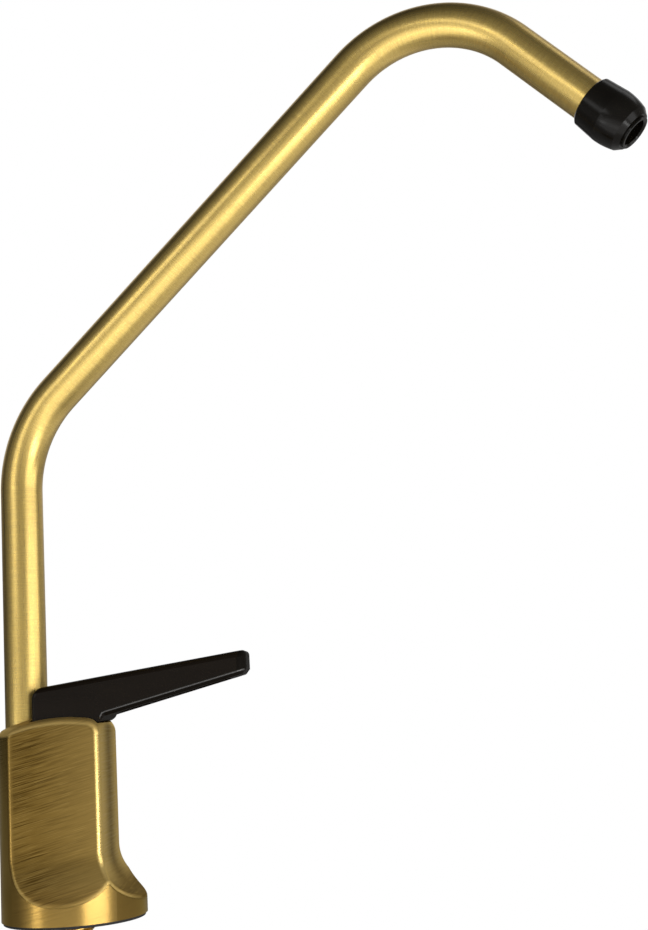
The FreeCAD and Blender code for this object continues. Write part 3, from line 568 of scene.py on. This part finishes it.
# the lever as moulded: its sides lean in along the top edge, and its lip, tip and underside are matt and
# painted darker as shade
leverShape = {
    "topStart": 68.55 * mm, "topSlope": 0.1245, "leanBand": 1.6 * mm, "leanIn": 0.8 * mm,
    "mattShadeDown": -0.3, "mattShadeAhead": 0.08, "sharpFrom": math.radians(24), "merge": 0.0001 * mm,
}


def makeLever(spec):
    work = bmesh.new()
    work.from_mesh(nodes["lever"].data)
    bmesh.ops.remove_doubles(work, verts=work.verts, dist=spec["merge"])
    upward = Vector((-spec["topSlope"], 0, 1)).normalized()
    crease = Vector((0, 0, spec["topStart"] - spec["leanBand"]))
    everything = work.verts[:] + work.edges[:] + work.faces[:]
    cut = bmesh.ops.bisect_plane(work, geom=everything, dist=spec["merge"], plane_co=crease, plane_no=upward)
    half = max(vert.co.y for vert in work.verts)
    for vert in work.verts:
        share = (vert.co - crease).dot(upward) / spec["leanBand"]
        vert.co.y *= 1 - min(max(share, 0.0), 1.0) * spec["leanIn"] / half
    work.normal_update()
    for face in work.faces:
        face.smooth = True
        # faces turned down or ahead take the matt copy, painted darker as shade
        mattShade = face.normal.z < spec["mattShadeDown"] or face.normal.x > spec["mattShadeAhead"]
        face.material_index = 1 if mattShade else 0
    for edge in work.edges:
        edge.smooth = edge.calc_face_angle(0.0) < spec["sharpFrom"]
    for part in cut["geom_cut"]:
        if isinstance(part, bmesh.types.BMEdge):
            part.smooth = False                           # the crease shows as a clean line
    piece = addMesh("leverMoulding", work, finishes["lever_plastic"], leverMattShade)
    flats = piece.modifiers.new("flatsStayFlat", "WEIGHTED_NORMAL")
    flats.keep_sharp = True
    return piece


leverPiece = makeLever(leverShape)
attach(leverPiece, "handle")
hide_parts("lever")
print("lever moulded")


# a fine bead on each side of the lever, down the heel's front and along the lower edge to the tip, in a pale
# glossy finish: a painted highlight line along that edge
leverBead = {
    "heel": ((11.0 * mm, 57.7 * mm), (11.3 * mm, 58.7 * mm), (11.8 * mm, 59.4 * mm)),
    "start": (12.6 * mm, 59.75 * mm), "end": (53.9 * mm, 69.77 * mm), "count": 60,
    "thick": 0.3 * mm, "sides": 10, "taperStart": 12.5 * mm, "tipHalf": 8.75 * mm, "tipRound": 3.0 * mm,
}


def makeLeverBead(spec, side):
    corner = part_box("lever")[1]
    reach, half = corner[0], corner[1]
    slope = (half - spec["tipHalf"]) / (reach - spec["taperStart"])

    def sideAt(x):
        width = half - slope * max(0.0, x - spec["taperStart"])
        over = max(0.0, x - (reach - spec["tipRound"]))
        return width - spec["tipRound"] + math.sqrt(spec["tipRound"] ** 2 - over ** 2)

    (x0, z0), (x1, z1), count = spec["start"], spec["end"], spec["count"]
    run = [(x0 + (x1 - x0) * k / count, z0 + (z1 - z0) * k / count) for k in range(count + 1)]
    line = [Vector((x, side * sideAt(x), z)) for x, z in (*spec["heel"], *run)]
    work = bmesh.new()
    rings = []
    for n, centre in enumerate(line):
        ahead = (line[min(n + 1, len(line) - 1)] - line[max(n - 1, 0)]).normalized()
        out = Vector((0, 1, 0)) - ahead * ahead.y
        out.normalize()
        up = ahead.cross(out)
        ways = [out * math.cos(a) + up * math.sin(a) for a in anglesRound(spec["sides"])]
        rings.append([work.verts.new(centre + spec["thick"] * way) for way in ways])
    for lower, upper in zip(rings, rings[1:]):
        for face in skinBetween(work, lower, upper):
            face.smooth = True
    work.faces.new(rings[0])
    work.faces.new(rings[-1])
    bmesh.ops.recalc_face_normals(work, faces=work.faces)
    return addMesh("leverBeadNear" if side < 0 else "leverBeadFar", work, paintedEdgeHighlight)


for side in (-1, 1):
    beadPiece = makeLeverBead(leverBead, side)
    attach(beadPiece, "handle")
print("lever beads laid")


# the floor shows white, apart from the shadow, and metal sees it brightest in front
stageLook = {
    "floorHeight": -66 * mm, "floorRadius": 3.0, "floorSides": 96, "rough": 0.8, "mottleScale": 30.0,
    "paint": (0.86, 0.86, 0.86, 1), "mottle": (0.82, 0.82, 0.82, 1), "nearWhite": 0.68,
    "shadowReach": (0.10, 0.30), "frontEdge": (-0.05, -0.13), "rightEdge": (0.12, 0.24),
    "farEdge": (0.42, 0.60), "dimBack": 0.25, "dimRight": 0.75, "dimFar": 0.4,
}


def makeFloor(look):
    work = bmesh.new()
    bmesh.ops.create_circle(work, cap_ends=True, segments=look["floorSides"], radius=look["floorRadius"])
    mat, tree, shader = newMaterial("paleFloorPaint")
    floor = addMesh("paleFloor", work, mat)
    floor.location = (0, 0, look["floorHeight"])
    place = addNode(tree, "ShaderNodeTexCoord").outputs["Object"]
    x, y = addNode(tree, "ShaderNodeSeparateXYZ", None, Vector=place).outputs[:2]
    far = addNode(tree, "ShaderNodeVectorMath", {"operation": "LENGTH"}, i0=place).outputs["Value"]
    mottle = remap(tree, noise(tree, place, look["mottleScale"]), *noiseSpan)
    setInput(tree, shader, "Base Color", mixColour(tree, mottle, look["mottle"], look["paint"]))
    shader.inputs["Roughness"].default_value = look["rough"]
    glow = addNode(tree, "ShaderNodeEmission", None, Color=(1, 1, 1, 1), Strength=1.0)
    path = addNode(tree, "ShaderNodeLightPath").outputs
    front = remap(tree, y, *look["frontEdge"])
    right = remap(tree, x, *look["rightEdge"], look["dimBack"], look["dimRight"])
    faded = remap(tree, far, *look["farEdge"], 1.0, look["dimFar"])
    bright = times(tree, math2(tree, "MAXIMUM", front, right), faded)
    mirrored = times(tree, path["Is Glossy Ray"], bright)
    clear = math2(tree, "MAXIMUM", path["Is Camera Ray"], path["Is Transmission Ray"])
    straight = times(tree, remap(tree, far, *look["shadowReach"], look["nearWhite"], 1.0), clear)
    white = math2(tree, "MAXIMUM", straight, mirrored)
    blend = addNode(tree, "ShaderNodeMixShader", None, i0=white, i1=shader.outputs[0], i2=glow.outputs[0])
    tree.links.new(blend.outputs[0], tree.nodes["Material Output"].inputs["Surface"])


makeFloor(stageLook)

# the room is dim overhead and to the left, and its white backdrop stands behind the object
roomLook = {
    "front": (0.47, 0.47, 0.46, 1), "backLeft": (0.06, 0.06, 0.06, 1), "backRight": (0.34, 0.34, 0.33, 1),
    "leftToRight": (-0.2, 0.25), "frontToBack": (-0.9, 0.2), "dimming": (0.25, 0.97, 1.0, 0.36),
    "backdropAt": (0.40, 0.85), "backdropRise": (0.05, 0.30),
}


def makeRoom(look):
    world = bpy.data.worlds.new("studioRoom")
    bpy.context.scene.world = world
    world.use_nodes = True
    tree = world.node_tree
    ground = tree.nodes["Background"]
    facing = addNode(tree, "ShaderNodeTexCoord").outputs["Generated"]
    x, y, z = addNode(tree, "ShaderNodeSeparateXYZ", None, Vector=facing).outputs
    behind = mixColour(tree, remap(tree, x, *look["leftToRight"]), look["backLeft"], look["backRight"])
    tone = mixColour(tree, remap(tree, y, *look["frontToBack"]), look["front"], behind)
    tone = mixColour(tree, remap(tree, z, *look["dimming"]), (0, 0, 0, 1), tone)
    backdrop = times(tree, remap(tree, y, *look["backdropAt"]), remap(tree, z, *look["backdropRise"]))
    path = addNode(tree, "ShaderNodeLightPath").outputs
    clear = math2(tree, "MAXIMUM", path["Is Camera Ray"], path["Is Transmission Ray"])
    white = math2(tree, "MAXIMUM", clear, times(tree, path["Is Glossy Ray"], backdrop))
    setInput(tree, ground, "Color", mixColour(tree, white, tone, (1, 1, 1, 1)))
    ground.inputs["Strength"].default_value = 1.0


makeRoom(roomLook)

# glow is the lamp's brightness, where 1 is white; size is metres across and up; no aim means facing up
lamps = {
    "rightSoftbox": {"at": (0.44, -0.22, 0.145), "size": (0.62, 0.15), "glow": 2.3,
                     "aim": (-0.014, 0, 0.145)},
    "rightCard": {"at": (0.35, -0.36, -0.036), "size": (0.36, 0.056), "glow": 10.5,
                  "aim": (0, 0, -0.036)},
    "leftSliver": {"at": (-0.377, -0.328, -0.045), "size": (0.12, 0.038), "glow": 7.0,
                   "aim": (0, 0, -0.045)},
    "leftWindow": {"at": (-0.54, -0.80, 0.33), "size": (0.44, 0.26), "glow": 2.2,
                   "aim": (0.15, -0.05, 0.235)},
    "ceilingCard": {"at": (0.55, 0.05, 0.85), "size": (0.30, 0.30), "glow": 1.0,
                    "aim": (0.165, -0.05, 0.215)},
    "tableFront": {"at": (-0.03, -0.30, -0.062), "size": (0.76, 0.34), "glow": 0.7},
    "leftTray": {"at": (-0.16, -0.51, 0.0), "size": (0.52, 0.54), "glow": 0.75},
    "tableLeft": {"at": (-0.58, -0.56, -0.062), "size": (0.45, 0.45), "glow": 0.7},
    "leftCard": {"at": (-0.92, -0.76, 0.0), "size": (0.36, 0.12), "glow": 1.4, "aim": (0, 0, 0)},
}


def makeLamp(name, spec):
    data = bpy.data.lights.new(name, "AREA")
    data.shape = "RECTANGLE"
    data.size, data.size_y = spec["size"]
    data.energy = spec["glow"] * math.pi * data.size * data.size_y
    lamp = addObject(name, data)
    lamp.location = spec["at"]
    if "aim" in spec:
        toward = Vector(spec["aim"]) - Vector(spec["at"])
        lamp.rotation_euler = toward.to_track_quat("-Z", "Y").to_euler()
    else:
        lamp.rotation_euler = (math.pi, 0, 0)
    lamp.visible_camera = False


for name, spec in lamps.items():
    makeLamp(name, spec)

# the camera as fitted to the photo's outline: metres, degrees and millimetres of lens
cameraView = {
    "at": (0.08906, -0.42693, 0.06114), "yaw": 1.087, "pitch": 9.27, "roll": -3.299,
    "lens": 54.18, "sensor": 36, "nearest": 0.01,
}


def makeCamera(spec):
    yaw, pitch, roll = (math.radians(spec[key]) for key in ("yaw", "pitch", "roll"))
    ahead = Vector((-math.sin(yaw) * math.cos(pitch), math.cos(yaw) * math.cos(pitch), math.sin(pitch)))
    right = Vector((math.cos(yaw), math.sin(yaw), 0))
    up = right.cross(ahead)
    across = right * math.cos(roll) + up * math.sin(roll)
    upward = up * math.cos(roll) - right * math.sin(roll)
    data = bpy.data.cameras.new("photoCamera")
    data.lens = spec["lens"]
    data.sensor_width = spec["sensor"]
    data.clip_start = spec["nearest"]
    camera = addObject("photoCamera", data)
    place = Matrix((across, upward, -ahead)).transposed().to_4x4()
    place.translation = spec["at"]
    camera.matrix_world = place
    bpy.context.scene.camera = camera


makeCamera(cameraView)
bpy.context.scene.view_settings.view_transform = "Standard"
print("stage set")
